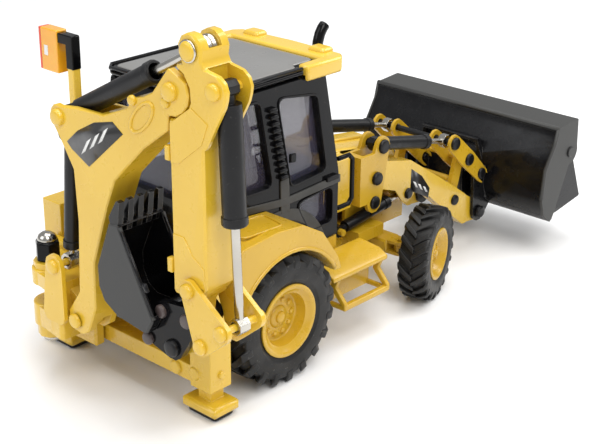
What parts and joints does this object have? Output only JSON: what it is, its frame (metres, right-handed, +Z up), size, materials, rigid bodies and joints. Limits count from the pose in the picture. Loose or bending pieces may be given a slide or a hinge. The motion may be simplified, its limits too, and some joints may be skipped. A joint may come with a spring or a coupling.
{
  "type": "toy_backhoe_loader",
  "caption": "Die-cast toy backhoe loader with a yellow body, black cab, steering front wheels, tilting front loader bucket and a swinging rear digging arm",
  "frame": {"origin": "Middle of the whole toy seen from above, at the level where the tyres stand", "axes": "X forward, Y to the machine's left, Z up"},
  "size_m": [0.1244, 0.0632, 0.0714],
  "materials": {
    "yellow_paint": "semi_gloss",
    "yellow_plastic": "gloss",
    "black_plastic": "gloss",
    "black_paint": "semi_gloss",
    "rubber": "matte",
    "bright_rod": "polished",
    "tinted_clear": "gloss",
    "amber": "gloss"
  },
  "bodies": {
    "chassis": {"main_frame": "yellow_paint", "engine_hood": "yellow_paint", "exhaust_stack": "black_plastic", "cab_frame": "black_plastic", "cab_glazing": "tinted_clear", "roof_panel": "black_plastic", "roof_visor": "yellow_plastic", "rear_fender_l": "yellow_paint", "rear_fender_r": "yellow_paint", "step_l": "yellow_paint", "step_r": "yellow_paint", "handrail_l": "black_plastic", "handrail_r": "black_plastic", "rear_frame": "yellow_paint", "tail_lamp_l": "amber", "tail_lamp_r": "amber"},
    "front_axle": {"front_axle": "yellow_paint"},
    "knuckle_l": {"knuckle_l": "yellow_paint"},
    "front_wheel_l": {"front_rim_l": "yellow_paint", "front_tyre_l": "rubber"},
    "rear_wheel_l": {"rear_rim_l": "yellow_paint", "rear_tyre_l": "rubber"},
    "knuckle_r": {"knuckle_r": "yellow_paint"},
    "front_wheel_r": {"front_rim_r": "yellow_paint", "front_tyre_r": "rubber"},
    "rear_wheel_r": {"rear_rim_r": "yellow_paint", "rear_tyre_r": "rubber"},
    "loader_arms": {"loader_arms": "yellow_paint"},
    "loader_bucket": {"loader_bucket": "black_paint"},
    "bucket_clam": {"bucket_clam": "black_paint"},
    "tilt_links": {"tilt_links": "yellow_paint"},
    "tilt_levers": {"tilt_levers": "yellow_paint"},
    "lever_cross_pin": {"lever_cross_pin": "black_paint"},
    "tilt_rod_l": {"tilt_cylinder_l_rod": "bright_rod"},
    "tower_pin_l": {"tower_pin_l": "black_paint"},
    "tilt_barrel_l": {"tilt_cylinder_l_barrel": "black_paint"},
    "lift_barrel_l": {"lift_cylinder_l_barrel": "black_paint"},
    "lift_rod_l": {"lift_cylinder_l_rod": "bright_rod"},
    "stabiliser_l": {"stabiliser_leg_l": "yellow_paint"},
    "tilt_rod_r": {"tilt_cylinder_r_rod": "bright_rod"},
    "tower_pin_r": {"tower_pin_r": "black_paint"},
    "tilt_barrel_r": {"tilt_cylinder_r_barrel": "black_paint"},
    "lift_barrel_r": {"lift_cylinder_r_barrel": "black_paint"},
    "lift_rod_r": {"lift_cylinder_r_rod": "bright_rod"},
    "stabiliser_r": {"stabiliser_leg_r": "yellow_paint"},
    "carriage": {"side_shift_carriage": "yellow_paint", "kingpost_pin": "black_paint"},
    "swing_casting": {"swing_casting": "yellow_paint"},
    "boom": {"boom": "yellow_paint"},
    "stick": {"stick": "yellow_paint"},
    "digging_bucket": {"coupler": "black_paint", "backhoe_bucket": "black_paint"},
    "idler": {"idler_link": "yellow_paint"},
    "power_link": {"power_link": "yellow_paint"},
    "boom_barrel": {"boom_cylinder_barrel": "black_paint"},
    "boom_rod": {"boom_cylinder_rod": "bright_rod"},
    "stick_barrel": {"stick_cylinder_barrel": "black_paint"},
    "stick_rod": {"stick_cylinder_rod": "bright_rod"},
    "bucket_barrel": {"bucket_cylinder_barrel": "black_paint"},
    "bucket_rod": {"bucket_cylinder_rod": "bright_rod"}
  },
  "joints": [
    {"name": "front_axle_rock", "type": "hinge", "parent": "chassis", "child": "front_axle", "pos_m": [0.01255, 0.00615, 0.00975], "axis": [1, 0, 0], "range_deg": [-6, 6]},
    {"name": "steer_l", "type": "hinge", "parent": "front_axle", "child": "knuckle_l", "pos_m": [0.01255, 0.01875, 0.00975], "axis": [0, 0, 1], "range_deg": [-46, 9]},
    {"name": "front_wheel_l_roll", "type": "hinge", "parent": "knuckle_l", "child": "front_wheel_l", "pos_m": [0.01079, 0.02386, 0.00975], "axis": [-0.3256, 0.9455, 0], "continuous": true},
    {"name": "rear_wheel_l_roll", "type": "hinge", "parent": "chassis", "child": "rear_wheel_l", "pos_m": [-0.03125, 0.02445, 0.0124], "axis": [0, 1, 0], "continuous": true},
    {"name": "steer_r", "type": "hinge", "parent": "front_axle", "child": "knuckle_r", "pos_m": [0.01255, -0.00645, 0.00975], "axis": [0, 0, 1], "range_deg": [-47, 10]},
    {"name": "front_wheel_r_roll", "type": "hinge", "parent": "knuckle_r", "child": "front_wheel_r", "pos_m": [0.01431, -0.01156, 0.00975], "axis": [-0.3256, 0.9455, 0], "continuous": true},
    {"name": "rear_wheel_r_roll", "type": "hinge", "parent": "chassis", "child": "rear_wheel_r", "pos_m": [-0.03125, -0.01215, 0.0124], "axis": [0, 1, 0], "continuous": true},
    {"name": "loader_lift", "type": "hinge", "parent": "chassis", "child": "loader_arms", "pos_m": [0.00695, 0.00615, 0.0257], "axis": [0, -1, 0], "range_deg": [-10, 40]},
    {"name": "bucket_tilt", "type": "hinge", "parent": "loader_arms", "child": "loader_bucket", "pos_m": [0.04385, 0.00615, 0.0076], "axis": [0, -1, 0], "range_deg": [-20, 15]},
    {"name": "clam_open", "type": "hinge", "parent": "loader_bucket", "child": "bucket_clam", "pos_m": [0.05475, 0.00615, 0.0226], "axis": [0, -1, 0], "range_deg": [0, 50]},
    {"name": "tilt_link_swing", "type": "hinge", "parent": "loader_arms", "child": "tilt_links", "pos_m": [0.03525, 0.00615, 0.0126], "axis": [0, -1, 0], "range_deg": [-16.52, 12.64]},
    {"name": "tilt_lever_swing", "type": "hinge", "parent": "tilt_links", "child": "tilt_levers", "pos_m": [0.03785, 0.00615, 0.0216], "axis": [0, -1, 0], "range_deg": [-21.58, 28.44]},
    {"name": "lever_pin_turn", "type": "hinge", "parent": "tilt_levers", "child": "lever_cross_pin", "pos_m": [0.03235, 0.00615, 0.0266], "axis": [0, -1, 0], "range_deg": [-16.7, 12.78]},
    {"name": "tilt_rod_l_swing", "type": "hinge", "parent": "lever_cross_pin", "child": "tilt_rod_l", "pos_m": [0.03235, 0.01385, 0.0266], "axis": [0, -1, 0], "range_deg": [-2.03, 5.13]},
    {"name": "tower_pin_l_turn", "type": "hinge", "parent": "chassis", "child": "tower_pin_l", "pos_m": [0.00895, 0.01385, 0.0319], "axis": [0, -1, 0], "range_deg": [-12.03, 45.13]},
    {"name": "tilt_barrel_l_swing", "type": "hinge", "parent": "tower_pin_l", "child": "tilt_barrel_l", "pos_m": [0.00895, 0.01385, 0.0319], "axis": [0, -1, 0], "range_deg": [-4.78, 3.83]},
    {"name": "lift_barrel_l_swing", "type": "hinge", "parent": "chassis", "child": "lift_barrel_l", "pos_m": [-0.00185, 0.01385, 0.0164], "axis": [0, -1, 0], "range_deg": [-6.21, 21.85]},
    {"name": "lift_rod_l_swing", "type": "hinge", "parent": "loader_arms", "child": "lift_rod_l", "pos_m": [0.01875, 0.01385, 0.0189], "axis": [0, -1, 0], "range_deg": [-20.15, 5.79]},
    {"name": "stabiliser_l_slide", "type": "slide", "parent": "chassis", "child": "stabiliser_l", "axis": [0, 0, 1], "range_m": [-0.008, 0.0019]},
    {"name": "tilt_rod_r_swing", "type": "hinge", "parent": "lever_cross_pin", "child": "tilt_rod_r", "pos_m": [0.03235, -0.00155, 0.0266], "axis": [0, -1, 0], "range_deg": [-2.03, 5.13]},
    {"name": "tower_pin_r_turn", "type": "hinge", "parent": "chassis", "child": "tower_pin_r", "pos_m": [0.00895, -0.00155, 0.0319], "axis": [0, -1, 0], "range_deg": [-12.03, 45.13]},
    {"name": "tilt_barrel_r_swing", "type": "hinge", "parent": "tower_pin_r", "child": "tilt_barrel_r", "pos_m": [0.00895, -0.00155, 0.0319], "axis": [0, -1, 0], "range_deg": [-4.78, 3.83]},
    {"name": "lift_barrel_r_swing", "type": "hinge", "parent": "chassis", "child": "lift_barrel_r", "pos_m": [-0.00185, -0.00155, 0.0164], "axis": [0, -1, 0], "range_deg": [-6.21, 21.85]},
    {"name": "lift_rod_r_swing", "type": "hinge", "parent": "loader_arms", "child": "lift_rod_r", "pos_m": [0.01875, -0.00155, 0.0189], "axis": [0, -1, 0], "range_deg": [-20.15, 5.79]},
    {"name": "stabiliser_r_slide", "type": "slide", "parent": "chassis", "child": "stabiliser_r", "axis": [0, 0, 1], "range_m": [-0.008, 0.0019]},
    {"name": "side_shift", "type": "slide", "parent": "chassis", "child": "carriage", "axis": [0, -1, 0], "range_m": [0, 0.0205]},
    {"name": "backhoe_swing", "type": "hinge", "parent": "carriage", "child": "swing_casting", "pos_m": [-0.05725, 0.01815, 0.0124], "axis": [0, 0, 1], "range_deg": [-180, 0]},
    {"name": "boom_lower", "type": "hinge", "parent": "swing_casting", "child": "boom", "pos_m": [-0.05725, 0.00705, 0.0152], "axis": [1, 0, 0], "range_deg": [0, 40]},
    {"name": "stick_out", "type": "hinge", "parent": "boom", "child": "stick", "pos_m": [-0.05725, -0.01885, 0.0619], "axis": [1, 0, 0], "range_deg": [-60, 0]},
    {"name": "bucket_dump", "type": "hinge", "parent": "stick", "child": "digging_bucket", "pos_m": [-0.05725, -0.02105, 0.0248], "axis": [1, 0, 0], "range_deg": [-80, 0]},
    {"name": "idler_swing", "type": "hinge", "parent": "stick", "child": "idler", "pos_m": [-0.05725, -0.02265, 0.03095], "axis": [1, 0, 0], "range_deg": [-48.82, 1]},
    {"name": "power_link_swing", "type": "hinge", "parent": "idler", "child": "power_link", "pos_m": [-0.05725, -0.02525, 0.0222], "axis": [1, 0, 0], "range_deg": [-1, 13.39]},
    {"name": "boom_barrel_swing", "type": "hinge", "parent": "boom", "child": "boom_barrel", "pos_m": [-0.05725, 0.00865, 0.0517], "axis": [1, 0, 0], "range_deg": [-1, 9.47]},
    {"name": "boom_rod_swing", "type": "hinge", "parent": "swing_casting", "child": "boom_rod", "pos_m": [-0.05725, 0.01135, 0.0244], "axis": [1, 0, 0], "range_deg": [-1, 49.47]},
    {"name": "stick_barrel_swing", "type": "hinge", "parent": "boom", "child": "stick_barrel", "pos_m": [-0.05725, 0.00865, 0.0517], "axis": [1, 0, 0], "range_deg": [-9.89, 1]},
    {"name": "stick_rod_swing", "type": "hinge", "parent": "stick", "child": "stick_rod", "pos_m": [-0.05725, -0.02315, 0.0689], "axis": [1, 0, 0], "range_deg": [-1, 52.11]},
    {"name": "bucket_barrel_swing", "type": "hinge", "parent": "stick", "child": "bucket_barrel", "pos_m": [-0.05725, -0.02815, 0.0638], "axis": [1, 0, 0], "range_deg": [-4.9, 1]},
    {"name": "bucket_rod_swing", "type": "hinge", "parent": "idler", "child": "bucket_rod", "pos_m": [-0.05725, -0.02985, 0.0261], "axis": [1, 0, 0], "range_deg": [-1, 44.92]}
  ],
  "couplings": [
    {"joint": "steer_r", "follows": "steer_l", "ratio": 1},
    {"joint": "tilt_link_swing", "follows": "bucket_tilt", "ratio": 0.7761},
    {"joint": "tilt_lever_swing", "follows": "bucket_tilt", "ratio": -1.3721},
    {"joint": "lever_pin_turn", "follows": "bucket_tilt", "ratio": 0.785},
    {"joint": "tilt_rod_l_swing", "follows": "loader_lift", "ratio": 0.1032},
    {"joint": "tower_pin_l_turn", "follows": "loader_lift", "ratio": 1.1032},
    {"joint": "tilt_barrel_l_swing", "follows": "bucket_tilt", "ratio": 0.189},
    {"joint": "lift_barrel_l_swing", "follows": "loader_lift", "ratio": 0.5213},
    {"joint": "lift_rod_l_swing", "follows": "loader_lift", "ratio": -0.4787},
    {"joint": "tilt_rod_r_swing", "follows": "loader_lift", "ratio": 0.1032},
    {"joint": "tower_pin_r_turn", "follows": "loader_lift", "ratio": 1.1032},
    {"joint": "tilt_barrel_r_swing", "follows": "bucket_tilt", "ratio": 0.189},
    {"joint": "lift_barrel_r_swing", "follows": "loader_lift", "ratio": 0.5213},
    {"joint": "lift_rod_r_swing", "follows": "loader_lift", "ratio": -0.4787},
    {"joint": "idler_swing", "follows": "bucket_dump", "ratio": 0.5978},
    {"joint": "power_link_swing", "follows": "bucket_dump", "ratio": -0.1549},
    {"joint": "boom_barrel_swing", "follows": "boom_lower", "ratio": 0.2118},
    {"joint": "boom_rod_swing", "follows": "boom_lower", "ratio": 1.2118},
    {"joint": "stick_barrel_swing", "follows": "stick_out", "ratio": 0.1482},
    {"joint": "stick_rod_swing", "follows": "stick_out", "ratio": -0.8518},
    {"joint": "bucket_barrel_swing", "follows": "bucket_dump", "ratio": 0.0488},
    {"joint": "bucket_rod_swing", "follows": "bucket_dump", "ratio": -0.549}
  ]
}
